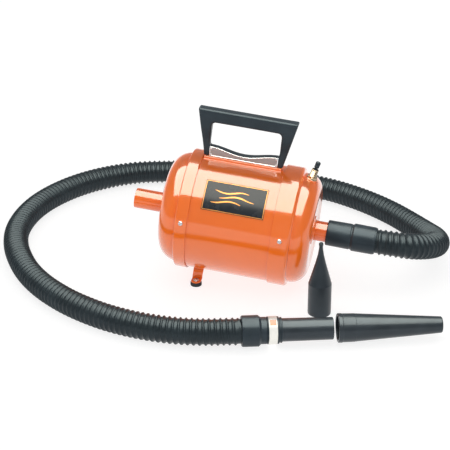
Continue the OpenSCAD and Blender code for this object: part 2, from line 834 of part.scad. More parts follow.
// The spare nozzle stands on its wide mouth
module cone_nozzle() {
  color(rubber) translate(cone_at) difference() {
    rotate_extrude() polygon([[0, 0], [17.6, 0], [18, 0.8], [17.8, 50.5], [17.2, 53],
      [7.9, 85], [4.6, 98.5], [2.9, 109.5], [3, 112.5], [3.4, 114], [3.4, 117], [2.8, 118],
      [0, 118]]);
    translate([0, 0, -1]) cylinder(r = 15.4, h = 31);
    translate([0, 0, 29.9]) cylinder(r1 = 15, r2 = 13.5, h = 20);
    translate([0, 0, 49.8]) cylinder(r1 = 13.5, r2 = 1.8, h = 49);
    translate([0, 0, 60]) cylinder(r = 1.8, h = 100, $fn = small_fn);
  }
}

shell();
left_end_cap();
right_end_cap();
cap_screws();
inlet_tube();
intake_screen();
outlet_tube();
outlet_collar();
name_plate();
handle_saddle();
handle();
handle_trim_front();
handle_trim_rear();
trim_rivets();
handle_bolts();
foot_bracket();
bracket_rivets();
foot_pads();
foot_screws();
switch_body();
switch_bushing();
switch_nut();
switch_lever();
cord_grommet();
motor_plate();
mount_gasket();
fan_housing();
housing_screws();
diffuser();
front_bell();
stator_core();
field_coils();
rear_bell();
bearing_front();
bearing_rear();
brush_holders();
brushes();
brush_springs();
rear_mount_ring();
motor_spider();
shaft();
armature_core();
armature_windings();
commutator();
fan_first();
fan_second();
fan_spacers();
shaft_nut();
outlet_cuff();
hose();
wand_cuff();
wand_collar();
label_band();
wand();
taper_nozzle();
cone_nozzle();
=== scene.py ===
"""Looks of a portable canister blower with its hose, wand and nozzles.

Lengths in the local frames below are in millimetres; the mesh builders turn them into metres.
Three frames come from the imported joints: BODY (X along the canister, Y to the back, Z up),
WAND (X along the wand) and SWITCH (X out of the switch).
"""

import json
import math

import bmesh
import bpy
from mathutils import Matrix, Vector


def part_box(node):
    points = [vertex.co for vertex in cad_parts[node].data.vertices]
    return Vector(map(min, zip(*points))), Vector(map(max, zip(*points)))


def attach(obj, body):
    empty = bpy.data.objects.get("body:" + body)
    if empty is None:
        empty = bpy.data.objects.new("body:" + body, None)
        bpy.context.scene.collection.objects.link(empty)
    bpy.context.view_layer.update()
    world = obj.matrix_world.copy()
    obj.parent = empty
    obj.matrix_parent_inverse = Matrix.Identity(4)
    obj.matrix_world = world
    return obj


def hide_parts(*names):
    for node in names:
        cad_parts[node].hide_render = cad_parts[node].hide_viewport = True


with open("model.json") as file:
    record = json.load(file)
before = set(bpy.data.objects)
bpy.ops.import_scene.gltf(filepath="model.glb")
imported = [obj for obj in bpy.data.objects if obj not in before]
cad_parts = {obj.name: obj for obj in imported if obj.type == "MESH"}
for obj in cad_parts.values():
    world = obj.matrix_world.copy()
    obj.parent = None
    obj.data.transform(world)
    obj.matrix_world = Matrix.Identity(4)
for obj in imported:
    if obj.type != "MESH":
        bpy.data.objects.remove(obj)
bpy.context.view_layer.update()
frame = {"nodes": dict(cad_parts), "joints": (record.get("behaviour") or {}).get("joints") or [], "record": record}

MM = 0.001
BACK = Vector((0, 1, 0))
UP = Vector((0, 0, 1))
JOINTS = {joint["name"]: joint for joint in frame["joints"]}


def axis_frame(origin, axis, back=BACK):
    """A frame whose X runs along axis, with Y as near to back as it can be."""
    x = Vector(axis).normalized()
    z = x.cross(Vector(back)).normalized()
    y = z.cross(x)
    place = Matrix((x, y, z)).transposed().to_4x4()
    place.translation = Vector(origin)
    return place


def point(place, x, y, z):
    """A point in a frame, given in millimetres, as a point of the scene in metres."""
    return place @ (Vector((x, y, z)) * MM)


BODY = axis_frame(JOINTS["rotor_spin"]["pos_m"], JOINTS["rotor_spin"]["axis"])
ALONG_BODY = BODY.to_3x3() @ Vector((1, 0, 0))
lever_axis = Vector(JOINTS["switch_toggle"]["axis"])
switch_up = lever_axis.cross(BACK)
LEVER_PIVOT = 12.5
SWITCH = axis_frame(
    Vector(JOINTS["switch_toggle"]["pos_m"]) - switch_up * LEVER_PIVOT * MM, switch_up
)
WAND_SWIVEL_AT = 60
wand_axis = Vector(JOINTS["wand_swivel"]["axis"])
WAND = axis_frame(
    Vector(JOINTS["wand_swivel"]["pos_m"]) - wand_axis * WAND_SWIVEL_AT * MM, wand_axis
)

# ---- camera, floor and lights ---------------------------------------------

CAMERA_AT = (0.39076, -2.1038, 1.0775)
CAMERA_PITCH = 65.3
CAMERA_YAW = 11
CAMERA_LENS = 120


def make_camera():
    data = bpy.data.cameras.new("camera")
    data.lens = CAMERA_LENS
    camera = bpy.data.objects.new("camera", data)
    camera.location = CAMERA_AT
    camera.rotation_euler = (math.radians(CAMERA_PITCH), 0, math.radians(CAMERA_YAW))
    bpy.context.scene.collection.objects.link(camera)
    bpy.context.scene.camera = camera


def area_light(name, at, target, size, watts, mirrored=False, colour=(1, 1, 1)):
    """A soft light. A mirrored one is seen only in glossy surfaces, the others only light."""
    data = bpy.data.lights.new(name, "AREA")
    data.shape = "RECTANGLE"
    data.size, data.size_y = size
    data.energy = watts
    data.color = colour
    light = bpy.data.objects.new(name, data)
    light.location = at
    light.rotation_euler = (Vector(target) - Vector(at)).to_track_quat("-Z", "Y").to_euler()
    light.visible_glossy = mirrored
    light.visible_diffuse = not mirrored
    bpy.context.scene.collection.objects.link(light)


FLOOR_HALF = 6
PANEL = ((0, -0.26, 1.35), (0, -0.26, 0), (2.3, 1.75))


def make_studio():
    mesh = bpy.data.meshes.new("floor")
    half = FLOOR_HALF
    mesh.from_pydata([(-half, -half, 0), (half, -half, 0), (half, half, 0), (-half, half, 0)], [],
                     [(0, 1, 2, 3)])
    floor = bpy.data.objects.new("floor", mesh)
    bpy.context.scene.collection.objects.link(floor)
    floor.data.materials.append(MATERIALS["floor"])
    # The overhead panel's straight lower edge is what the enamel's bright band mirrors
    area_light("panel", *PANEL, 98, mirrored=True, colour=(1, 0.975, 0.86))
    area_light("overhead", *PANEL, 43)
    area_light("front_fill", (0.7, -2.4, 0.9), (0, 0, 0.1), (2.4, 1.4), 25)
    area_light("left_fill", (-2.2, -0.6, 0.8), (0, 0, 0.1), (1.6, 1.2), 8)
    area_light("back_fill", (0.4, 2.4, 1.0), (0, 0, 0.1), (2.4, 1.4), 17)
    world = bpy.data.worlds.new("studio")
    bpy.context.scene.world = world
    world.use_nodes = True
    background = world.node_tree.nodes["Background"]
    background.inputs["Color"].default_value = (0.93, 0.96, 1.0, 1)
    background.inputs["Strength"].default_value = 0.3
    bpy.context.scene.view_settings.view_transform = "Standard"


# ---- materials ------------------------------------------------------------


class Nodes:
    """A material's node tree with short ways to add and join nodes."""

    def __init__(self, name):
        self.material = bpy.data.materials.new(name)
        self.material.use_nodes = True
        self.tree = self.material.node_tree
        self.shader = self.tree.nodes["Principled BSDF"]
        self.place = self.add("ShaderNodeTexCoord").outputs["Object"]

    def add(self, kind, **settings):
        node = self.tree.nodes.new(kind)
        for key, value in settings.items():
            setattr(node, key, value)
        return node

    def join(self, source, target):
        self.tree.links.new(source, target)

    def noise(self, scale, detail=3, stretch=(1, 1, 1)):
        mapping = self.add("ShaderNodeMapping")
        mapping.inputs["Scale"].default_value = stretch
        self.join(self.place, mapping.inputs["Vector"])
        noise = self.add("ShaderNodeTexNoise")
        noise.inputs["Scale"].default_value = scale
        noise.inputs["Detail"].default_value = detail
        self.join(mapping.outputs["Vector"], noise.inputs["Vector"])
        return noise.outputs["Fac"]

    def waves(self, scale, axis, distortion=0.0):
        wave = self.add("ShaderNodeTexWave", bands_direction=axis)
        wave.inputs["Scale"].default_value = scale
        wave.inputs["Distortion"].default_value = distortion
        self.join(self.place, wave.inputs["Vector"])
        return wave.outputs["Fac"]

    def spread(self, source, low, high, start=0.3, end=0.7):
        """source, mapped from start..end to low..high."""
        node = self.add("ShaderNodeMapRange")
        node.inputs["From Min"].default_value = start
        node.inputs["From Max"].default_value = end
        node.inputs["To Min"].default_value = low
        node.inputs["To Max"].default_value = high
        self.join(source, node.inputs["Value"])
        return node.outputs["Result"]

    def mix(self, factor, first, second):
        node = self.add("ShaderNodeMix", data_type="RGBA")
        self.join(factor, node.inputs["Factor"])
        for socket, colour in ((node.inputs["A"], first), (node.inputs["B"], second)):
            if isinstance(colour, tuple):
                socket.default_value = (*colour, 1)
            else:
                self.join(colour, socket)
        return node.outputs["Result"]

    def bump(self, *heights):
        """Adds bumps one on another; each is (height, distance in metres, strength)."""
        normal = None
        for height, distance, strength in heights:
            node = self.add("ShaderNodeBump")
            node.inputs["Strength"].default_value = strength
            node.inputs["Distance"].default_value = distance
            self.join(height, node.inputs["Height"])
            if normal is not None:
                self.join(normal, node.inputs["Normal"])
            normal = node.outputs["Normal"]
        self.join(normal, self.shader.inputs["Normal"])

    def set(self, **values):
        for key, value in values.items():
            self.shader.inputs[key.replace("_", " ")].default_value = value


COOL_SHINE = (0.72, 0.88, 1.0, 1)


def shade(colour, factor):
    return tuple(min(1.0, part * factor) for part in colour)


def enamel():
    """Glossy orange enamel: an even coat with faint orange peel and a little dust."""
    n = Nodes("enamel")
    orange = (0.80, 0.142, 0.008)
    tone = n.spread(n.noise(9), 0, 1)
    dust = n.spread(n.noise(900, 2), 0, 1, 0.68, 0.76)
    base = n.mix(tone, shade(orange, 0.95), shade(orange, 1.04))
    dusty = n.add("ShaderNodeMath", operation="MULTIPLY")
    dusty.inputs[1].default_value = 0.05
    n.join(dust, dusty.inputs[0])
    n.join(n.mix(dusty.outputs[0], base, (0.8, 0.5, 0.35)), n.shader.inputs["Base Color"])
    n.join(n.spread(n.noise(26), 0.16, 0.24), n.shader.inputs["Roughness"])
    n.bump((n.noise(260, 2), 0.0001, 0.10))
    n.set(Coat_Weight=1.0, Coat_Roughness=0.03, Coat_IOR=1.52)
    return n.material


def metal(name, colour, roughness, grain=(1, 1, 1), grain_scale=900, tarnish=0.85, spread=0.08):
    """Bare or plated metal: a directional grain in roughness and bump, with soft tarnish."""
    n = Nodes(name)
    lines = n.noise(grain_scale, 2, grain)
    n.join(n.mix(n.spread(n.noise(60), 0, 1), shade(colour, tarnish), colour),
           n.shader.inputs["Base Color"])
    n.join(n.spread(lines, roughness - spread, roughness + spread), n.shader.inputs["Roughness"])
    n.bump((lines, 0.00005, 0.25))
    n.set(Metallic=1.0)
    return n.material


def moulded(name, colour, roughness, grain=1400, grain_depth=0.12, coat=0.0, swirl=0.0,
            shine=0.5):
    """Moulded plastic or rubber: fine tooled grain, uneven gloss and rubbed, paler patches."""
    n = Nodes(name)
    rub = n.spread(n.noise(34, 5), 0, 1, 0.42, 0.74)
    n.join(n.mix(rub, colour, shade(colour, 1.5)), n.shader.inputs["Base Color"])
    n.join(n.spread(n.noise(55, 4), roughness - 0.06, roughness + 0.07),
           n.shader.inputs["Roughness"])
    heights = [(n.noise(grain, 2), 0.00012, grain_depth)]
    if swirl:
        heights.append((n.noise(70, 2), 0.0006, swirl))
    n.bump(*heights)
    n.set(Coat_Weight=coat, Coat_Roughness=0.12, Specular_IOR_Level=shine,
          Specular_Tint=COOL_SHINE)
    return n.material


def printed(name, colour, roughness, coat=0.6, shine=0.5):
    """Lacquered print: an even film with faint speckle."""
    n = Nodes(name)
    n.join(n.mix(n.spread(n.noise(500), 0, 1), shade(colour, 0.93), colour),
           n.shader.inputs["Base Color"])
    n.join(n.spread(n.noise(80), roughness - 0.05, roughness + 0.05), n.shader.inputs["Roughness"])
    n.bump((n.noise(1200), 0.00005, 0.1))
    n.set(Coat_Weight=coat, Coat_Roughness=0.08, Specular_IOR_Level=shine)
    return n.material


def gold_print():
    """Gold ink: a slightly metallic film with uneven tone."""
    n = Nodes("gold_print")
    n.join(n.mix(n.spread(n.noise(300), 0, 1), (0.72, 0.25, 0.04), (0.86, 0.38, 0.08)),
           n.shader.inputs["Base Color"])
    n.join(n.spread(n.noise(600), 0.28, 0.42), n.shader.inputs["Roughness"])
    n.bump((n.noise(1500), 0.00004, 0.2))
    n.set(Metallic=0.35)
    return n.material


def stacked(name, colour, axis, scale, metallic, depth):
    """Laminations or wound wire: fine parallel lines across an axis."""
    n = Nodes(name)
    lines = n.waves(scale, axis, 0.6)
    n.join(n.mix(lines, shade(colour, 0.55), colour), n.shader.inputs["Base Color"])
    n.join(n.spread(n.noise(90), 0.3, 0.45), n.shader.inputs["Roughness"])
    n.bump((lines, 0.0003, depth))
    n.set(Metallic=metallic)
    return n.material


def floor_surface():
    """A plain pale floor that glows a little, so that its shadows stay light."""
    n = Nodes("floor")
    n.join(n.mix(n.spread(n.noise(3), 0, 1), (0.29, 0.29, 0.292), (0.31, 0.31, 0.31)),
           n.shader.inputs["Base Color"])
    n.join(n.spread(n.noise(12), 0.7, 0.8), n.shader.inputs["Roughness"])
    n.bump((n.noise(400), 0.0001, 0.05))
    n.set(Specular_IOR_Level=0.2, Emission_Color=(1, 1, 1, 1), Emission_Strength=0.8)
    return n.material


BLUE_BLACK = (0.012, 0.017, 0.021)
MATERIALS = {
    "enamel": enamel(),
    "bright_steel": metal("bright_steel", (0.74, 0.75, 0.77), 0.24),
    "satin_trim": metal("satin_trim", (0.37, 0.355, 0.355), 0.46, (0.04, 1, 1), 1500, 0.94),
    "polished_edge": metal("polished_edge", (0.93, 0.93, 0.94), 0.12, spread=0.04),
    "moulded_black": moulded("moulded_black", BLUE_BLACK, 0.38, coat=0.06, shine=0.36),
    "plate_black": printed("plate_black", (0.012, 0.015, 0.019), 0.25, 0.0, 0.26),
    "gold_print": gold_print(),
    "band_orange": printed("band_orange", (0.80, 0.16, 0.03), 0.35),
    "band_white": printed("band_white", (0.82, 0.80, 0.74), 0.35),
    "hose_black": moulded("hose_black", (0.010, 0.014, 0.016), 0.36, 900, 0.15, 0.05, 0.2, 0.3),
    "nozzle_rubber": moulded("nozzle_rubber", (0.013, 0.016, 0.019), 0.34, 1100, 0.15, 0.2,
                             shine=0.42),
    "soft_rubber": moulded("soft_rubber", (0.014, 0.014, 0.014), 0.62, 1000, 0.3),
    "switch_brass": metal("switch_brass", (0.66, 0.53, 0.38), 0.28, tarnish=0.75),
    "zinc_sheet": metal("zinc_sheet", (0.60, 0.62, 0.64), 0.35, tarnish=0.75),
    "cast_alloy": metal("cast_alloy", (0.60, 0.61, 0.63), 0.45, tarnish=0.8),
    "lamination": stacked("lamination", (0.38, 0.38, 0.40), "X", 320, 1.0, 0.5),
    "copper_wire": stacked("copper_wire", (0.72, 0.34, 0.15), "X", 180, 0.8, 0.8),
    "carbon": moulded("carbon", (0.03, 0.03, 0.032), 0.5),
    "floor": floor_surface(),
}

# ---- mesh builders --------------------------------------------------------


def piece(name, bm, material, hides=(), sharp=42, body="canister"):
    """Turns bm into a smooth-shaded object on a CAD body, hiding the CAD nodes it stands for."""
    bmesh.ops.remove_doubles(bm, verts=bm.verts, dist=1e-7)
    bmesh.ops.recalc_face_normals(bm, faces=bm.faces)
    mesh = bpy.data.meshes.new(name)
    bm.to_mesh(mesh)
    bm.free()
    mesh.shade_smooth()
    mesh.set_sharp_from_angle(angle=math.radians(sharp))
    made = bpy.data.objects.new(name, mesh)
    bpy.context.scene.collection.objects.link(made)
    mesh.materials.append(MATERIALS[material])
    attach(made, body)
    if hides:
        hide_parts(*hides)
    return made


def rounded(corners, closed=True):
    """Fine points along a profile of (x, y, fillet) corners, each rounded by its own radius."""
    points = [Vector(corner[:2]) for corner in corners]
    line = []
    count = len(points)
    for i, corner in enumerate(corners):
        radius = corner[2] if len(corner) > 2 else 0
        ends = not closed and i in (0, count - 1)
        if ends or radius <= 0:
            line.append(points[i])
            continue
        here = points[i]
        back = points[i - 1] - here
        on = points[(i + 1) % count] - here
        half = back.angle(on) / 2
        run = min(radius / math.tan(half), 0.49 * back.length, 0.49 * on.length)
        radius = run * math.tan(half)
        centre = here + (back.normalized() + on.normalized()).normalized() * radius / math.sin(half)
        first = here + back.normalized() * run - centre
        last = here + on.normalized() * run - centre
        turn = first.angle_signed(last)
        steps = max(2, math.ceil(abs(turn) / math.radians(14)))
        pad = 0.35 * radius + 0.05
        if back.length * 0.49 > run + pad:
            line.append(here + back.normalized() * (run + pad))
        line += [centre + Matrix.Rotation(-turn * k / steps, 2) @ first for k in range(steps + 1)]
        if on.length * 0.49 > run + pad:
            line.append(here + on.normalized() * (run + pad))
    return [(point.x, point.y) for point in line]


def arc(x, y, radius, start, end, steps=12):
    """Points of an arc in degrees, as profile corners with no fillet."""
    angles = [math.radians(start + (end - start) * k / steps) for k in range(steps + 1)]
    return [(x + radius * math.cos(a), y + radius * math.sin(a)) for a in angles]


def grid(bm, rows, wrap_rows=False, wrap_columns=True):
    """Quads between rows of points of equal count; a row of one point closes to a pole."""
    rings = [[bm.verts.new(point) for point in row] for row in rows]
    pairs = list(zip(rings, rings[1:] + rings[:1]))
    if not wrap_rows:
        pairs.pop()
    for low, high in pairs:
        count = max(len(low), len(high))
        for k in range(count if wrap_columns else count - 1):
            j = (k + 1) % count
            corners = [low[k % len(low)], low[j % len(low)],
                       high[j % len(high)], high[k % len(high)]]
            unique = list(dict.fromkeys(corners))
            if len(unique) > 2:
                bm.faces.new(unique)
    return rings


def walls(bm, top, foot):
    """Quads between two loops of equal count."""
    for k in range(len(top)):
        j = (k + 1) % len(top)
        bm.faces.new([top[k], top[j], foot[j], foot[k]])


def circle(place, x, radius, steps):
    """Points of a ring about a frame's X, or the one point of its pole."""
    if radius < 1e-6:
        return [point(place, x, 0, 0)]
    angles = [2 * math.pi * k / steps for k in range(steps)]
    return [point(place, x, radius * math.cos(a), radius * math.sin(a)) for a in angles]


def turned(place, profile, closed=True, steps=144):
    """A lathe of (x, radius) points about a frame's X."""
    bm = bmesh.new()
    grid(bm, [circle(place, x, radius, steps) for x, radius in profile], wrap_rows=closed)
    return bm


def solid(place, sections, wrap=False):
    """A skin over sections, lists of points in a frame, with both ends filled unless it wraps."""
    bm = bmesh.new()
    rings = grid(bm, [[point(place, *p) for p in section] for section in sections], wrap)
    if not wrap:
        bm.faces.new(rings[0])
        bm.faces.new(rings[-1])
    return bm


def rounded_box(place, low, high, radius):
    """A box between two corners in a frame, with every edge rounded."""
    box = bmesh.new()
    bmesh.ops.create_cube(box, size=1)
    for vert in box.verts:
        vert.co = Vector([(a + b) / 2 + (b - a) * c for a, b, c in zip(low, high, vert.co)])
    bmesh.ops.bevel(box, geom=box.edges[:], offset=radius, segments=4, affect="EDGES",
                    profile=0.5)
    for vert in box.verts:
        vert.co = place @ (vert.co * MM)
    return box


def carved(target, cutter):
    """target with cutter taken away, both bmeshes in metres."""
    objects = []
    for name, bm in (("target", target), ("cutter", cutter)):
        bmesh.ops.recalc_face_normals(bm, faces=bm.faces)
        mesh = bpy.data.meshes.new(name)
        bm.to_mesh(mesh)
        bm.free()
        objects.append(bpy.data.objects.new(name, mesh))
        bpy.context.scene.collection.objects.link(objects[-1])
    cut = objects[0].modifiers.new("cut", "BOOLEAN")
    cut.operation = "DIFFERENCE"
    cut.solver = "EXACT"
    cut.object = objects[1]
    result = bmesh.new()
    result.from_object(objects[0], bpy.context.evaluated_depsgraph_get())
    for made in objects:
        mesh = made.data
        bpy.data.objects.remove(made)
        bpy.data.meshes.remove(mesh)
    return result


def joined(parts):
    """All parts in one bmesh."""
    whole = bmesh.new()
    for bm in parts:
        mesh = bpy.data.meshes.new("part")
        bm.to_mesh(mesh)
        bm.free()
        whole.from_mesh(mesh)
        bpy.data.meshes.remove(mesh)
    return whole


# ---- hose -----------------------------------------------------------------

HOSE_R = 20.5
HOSE_BORE = 17.0
RIB_PITCH = 8.6
RIB_DEPTH = 2.4
RIB_SHARE = 0.37
ROWS_PER_RIB = 10
HOSE_SIDES = 40
# The ribs fade out over this length at each end
PLAIN_END = 5
PER_SPAN = 24
HOSE_EXIT = BODY @ Vector((0.2204, 0, 0))
# The same route as in the CAD, in metres; most of it lies on the floor
LOW = 0.021
ROUTE = [
    HOSE_EXIT, BODY @ Vector((0.2324, 0, 0)),
    (0.262, 0.0175, 0.073), (0.283, 0.032, 0.0665), (0.299, 0.054, 0.0585),
    (0.308, 0.081, 0.0495), (0.309, 0.110, 0.0405), (0.303, 0.138, 0.0335),
    (0.291, 0.165, 0.0275), (0.275, 0.192, 0.0235), (0.254, 0.220, 0.0216),
    (0.225, 0.252, 0.0211),
    *[(x, y, LOW) for x, y in (
        (0.190, 0.283), (0.150, 0.311), (0.106, 0.334), (0.050, 0.352), (-0.008, 0.362),
        (-0.078, 0.3695), (-0.150, 0.368), (-0.225, 0.353), (-0.270, 0.332), (-0.308, 0.302),
        (-0.340, 0.264), (-0.365, 0.218), (-0.381, 0.168), (-0.387, 0.115), (-0.383, 0.060),
        (-0.368, 0.008), (-0.345, -0.040), (-0.317, -0.084), (-0.284, -0.122), (-0.246, -0.155),
        (-0.207, -0.181), (-0.160, -0.204), (-0.112, -0.2186),
    )],
    (-0.062, -0.2256, 0.0213), (-0.014, -0.2254, 0.0224),
    WAND @ Vector((-0.012, 0, 0)), WAND @ Vector((0, 0, 0)),
]
ROUTE = [Vector(point) for point in ROUTE]


def between(points, i, t):
    """A point on the smooth curve between points i and i + 1."""
    a, b = points[max(i - 1, 0)], points[i]
    c, d = points[i + 1], points[min(i + 2, len(points) - 1)]
    return 0.5 * (2 * b + (c - a) * t + (2 * a - 5 * b + 4 * c - d) * t ** 2
                  + (3 * b - a - 3 * c + d) * t ** 3)


def even_path(points, step):
    """Points a step apart along the smooth curve through points."""
    fine = [between(points, i, k / PER_SPAN)
            for i in range(len(points) - 1) for k in range(PER_SPAN)]
    fine.append(points[-1])
    lengths = [0.0]
    for a, b in zip(fine, fine[1:]):
        lengths.append(lengths[-1] + (b - a).length)
    count = round(lengths[-1] / step)
    path, j = [], 0
    for i in range(count + 1):
        want = lengths[-1] * i / count
        while j < len(lengths) - 2 and lengths[j + 1] < want:
            j += 1
        share = (want - lengths[j]) / (lengths[j + 1] - lengths[j])
        path.append(fine[j].lerp(fine[j + 1], min(share, 1)))
    return path, lengths[-1]


def frames_along(path, up):
    """The forward and up directions at each point, carried along the path without twist."""
    frames = []
    for i in range(len(path)):
        on = (path[min(i + 1, len(path) - 1)] - path[max(i - 1, 0)]).normalized()
        up = (up - on * up.dot(on)).normalized()
        frames.append((on, up))
    return frames


def rib(turns):
    """Height of the outer wall at a place along the hose, in turns of its helix: 0 to 1."""
    across = abs((turns % 1) - 0.5) / (RIB_SHARE / 2)
    if across < 1:
        return math.sqrt(1 - across ** 2 * 0.96)
    sag = (across - 1) / (1 / RIB_SHARE - 1)
    return 0.2 * (1 - sag) ** 2


def make_hose():
    """One helical rib wound along the whole hose; its film hangs slightly between the turns."""
    path, length = even_path(ROUTE, RIB_PITCH * MM / ROWS_PER_RIB)
    frames = frames_along(path, UP)

    def ring(i, radii):
        on, up = frames[i]
        side = on.cross(up)
        angles = [2 * math.pi * k / HOSE_SIDES for k in range(HOSE_SIDES)]
        return [path[i] + radius * MM * (math.cos(a) * up + math.sin(a) * side)
                for radius, a in zip(radii, angles)]

    rows = []
    for i in range(len(path)):
        at = length * i / (len(path) - 1) / MM
        ends = min(1, max(0, min(at, length / MM - at) - 0.5) / PLAIN_END)
        heights = [rib(at / RIB_PITCH - k / HOSE_SIDES) * ends for k in range(HOSE_SIDES)]
        rows.append(ring(i, [HOSE_R - RIB_DEPTH * (1 - height) for height in heights]))
    bm = bmesh.new()
    grid(bm, rows + [ring(-1, [HOSE_BORE] * HOSE_SIDES)])
    grid(bm, [ring(0, [HOSE_BORE] * HOSE_SIDES), rows[0]])
    hose = piece("ribbed_hose", bm, "hose_black", hides=["hose"], sharp=80)
    return hose, path[::6] + [path[-1]], length


# ---- pieces on the hose ---------------------------------------------------


def make_outlet_cuff():
    """Two-step moulded cuff, rounded at its mouth and rolled in where the hose enters."""
    profile = rounded([(142.7, 15.95, 0.6), (142.7, 19.9, 2.2), (179.4, 20.3, 0.8),
                       (180.6, 19.5, 0.5), (182.0, 19.6, 0.5), (184.6, 21.7, 2.0),
                       (216.4, 21.4, 1.5), (220.2, 20.4, 0.9), (220.2, 15.4, 0.3),
                       (164.4, 15.35, 0.2), (164.2, 15.95, 0.05)])
    return piece("smooth_outlet_cuff", turned(BODY, profile), "moulded_black",
                 hides=["outlet_cuff"])


def make_wand_cuff():
    """The wide ring that grips the hose's end, with eight shallow finger flats."""
    steps = 160
    flats = 8
    flat_depth = 0.35
    outline = rounded([(0.2, 15.05, 0.3), (0.2, 22.9, 1.8), (3, 23.45, 1), (25.4, 23.45, 1.2),
                       (28.6, 20.0, 0.8), (37.3, 19.9, 0.9), (37.35, 17.3, 0.2), (8, 17.25, 0.05),
                       (8, 15.05, 0.05)])
    bm = bmesh.new()
    rows = []
    for x, radius in outline:
        row = []
        for k in range(steps):
            a = 2 * math.pi * k / steps
            swell = flat_depth * (0.35 + 0.65 * math.cos(flats * a))
            outer = radius - flat_depth + swell if radius > 21 else radius
            row.append(point(WAND, x, outer * math.cos(a), outer * math.sin(a)))
        rows.append(row)
    grid(bm, rows, wrap_rows=True)
    return piece("ring_cuff", bm, "moulded_black", hides=["wand_cuff"])


MARK_ANGLES = (48, 74)


def make_wand():
    """The wand's collar, blank band with one colour patch, and plain tube."""
    collar = rounded([(37.7, 17.3, 0.1), (37.7, 20.3, 0.7), (39.2, 20.3, 0.5), (39.4, 18.6, 0.3),
                      (52.4, 18.6, 0.3), (52.6, 20.3, 0.5), (55.0, 20.3, 0.9), (55.6, 18.4, 0.3),
                      (57.2, 18.4, 0.2), (57.6, 19.0, 0.4), (59.4, 19.0, 0.7), (60.0, 17.4, 0.2)])
    piece("grooved_collar", turned(WAND, collar), "moulded_black", hides=["wand_collar"],
          body="wand_end")
    band = rounded([(39.6, 18.7, 0.1), (39.6, 20.9, 0.35), (52.2, 20.9, 0.35), (52.2, 18.7, 0.1)])
    piece("blank_band", turned(WAND, band), "band_white", hides=["label_band"], body="wand_end")
    sections = []
    for k in range(13):
        a = math.radians(MARK_ANGLES[0] + (MARK_ANGLES[1] - MARK_ANGLES[0]) * k / 12)
        sections.append([(x, -r * math.cos(a), r * math.sin(a))
                         for x, r in ((41.4, 20.8), (41.4, 20.98), (50.4, 20.98), (50.4, 20.8))])
    piece("band_mark", solid(WAND, sections), "band_orange", body="wand_end")
    tube = rounded([(10, 14.6, 0.3), (10, 17.2, 0.5), (62, 17.2, 40), (134.9, 16.6, 0.9),
                    (135.2, 16.1, 0.3), (135.2, 14.6, 0.6)])
    piece("straight_wand", turned(WAND, tube), "nozzle_rubber", hides=["wand"],
          body="wand_end")
    return ["grooved_collar", "blank_band", "band_mark", "straight_wand"]


def make_taper_nozzle():
    profile = rounded([(142, 17.6, 1.0), (142, 21.7, 1.2), (147.5, 21.8, 1.5), (149, 21.3, 0.8),
                       (167, 21.0, 0.5), (167.6, 20.75, 0.4), (295.8, 12.2, 1.6), (297, 11.2, 0.7),
                       (297, 8.7, 0.6), (172, 16.5, 0.5), (172, 17.6, 0.3)])
    piece("long_nozzle", turned(WAND, profile), "nozzle_rubber", hides=["taper_nozzle"],
          body="nozzle")


def make_cone_nozzle():
    low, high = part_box("cone_nozzle")
    stand = axis_frame(((low.x + high.x) / 2, (low.y + high.y) / 2, 0), UP)
    profile = rounded([(0.1, 15.4, 0.5), (0.1, 17.6, 0.9), (3, 17.9, 1.5), (50.5, 17.8, 0.6),
                       (52.2, 17.2, 0.8), (85, 7.9, 30), (98.5, 4.6, 20), (109.5, 2.9, 4),
                       (112.9, 2.9, 0.5), (114, 3.4, 0.5), (117.1, 3.4, 0.8), (117.9, 2.7, 0.3),
                       (117.9, 1.8, 0.2), (98, 1.8, 2), (49.9, 13.4, 1), (30, 15.0, 0.5),
                       (30, 15.4, 0.1)])
    piece("point_nozzle", turned(stand, profile, steps=96), "nozzle_rubber", hides=["cone_nozzle"],
          body="spare")


# ---- canister -------------------------------------------------------------

SHELL_R = 92.0
BAND_R = 94.5
DOME_R = 87.0
WALL = 1.6
TUBE_R = 15.9
TUBE_BORE = 14.3
LEFT_BAND = (-83.0, -64.0)
RIGHT_BAND = (65.0, 95.0)
# The open groove under each band's rim
LIP = 1.8
LIP_GAP = 0.95


def make_shell():
    """The steel barrel, with a rolled lap seam along its underside at the back."""
    profile = rounded([(-80, SHELL_R - 1.5, 0.3), (-80, SHELL_R, 0.5), (80, SHELL_R, 0.5),
                       (80, SHELL_R - 1.5, 0.3)])
    piece("barrel", turned(BODY, profile, steps=256), "enamel", hides=["shell"])
    seam = bmesh.new()
    angle = math.radians(-52)
    half = 4.5 / SHELL_R
    section = [angle - half + 2 * half * k / 8 for k in range(9)]
    lift = [0.02, 0.35, 0.6, 0.68, 0.7, 0.68, 0.6, 0.35, 0.02]
    rows = []
    for x in (-63.6, -63.2, 0, 64.2, 64.6):
        ends = 0.02 if abs(x) > 63.4 and x != 64.2 else 1
        radii = [SHELL_R - 0.3 + (0.3 + h) * ends for h in lift]
        rows.append([point(BODY, x, radius * math.cos(a), radius * math.sin(a))
                     for a, radius in zip(section, radii)])
    rings = grid(seam, rows, wrap_columns=False)
    for a, b in zip(rings, rings[1:]):
        seam.faces.new([a[0], b[0], b[-1], a[-1]])
    seam.faces.new(rings[0])
    seam.faces.new(rings[-1])
    piece("barrel_seam", seam, "enamel")


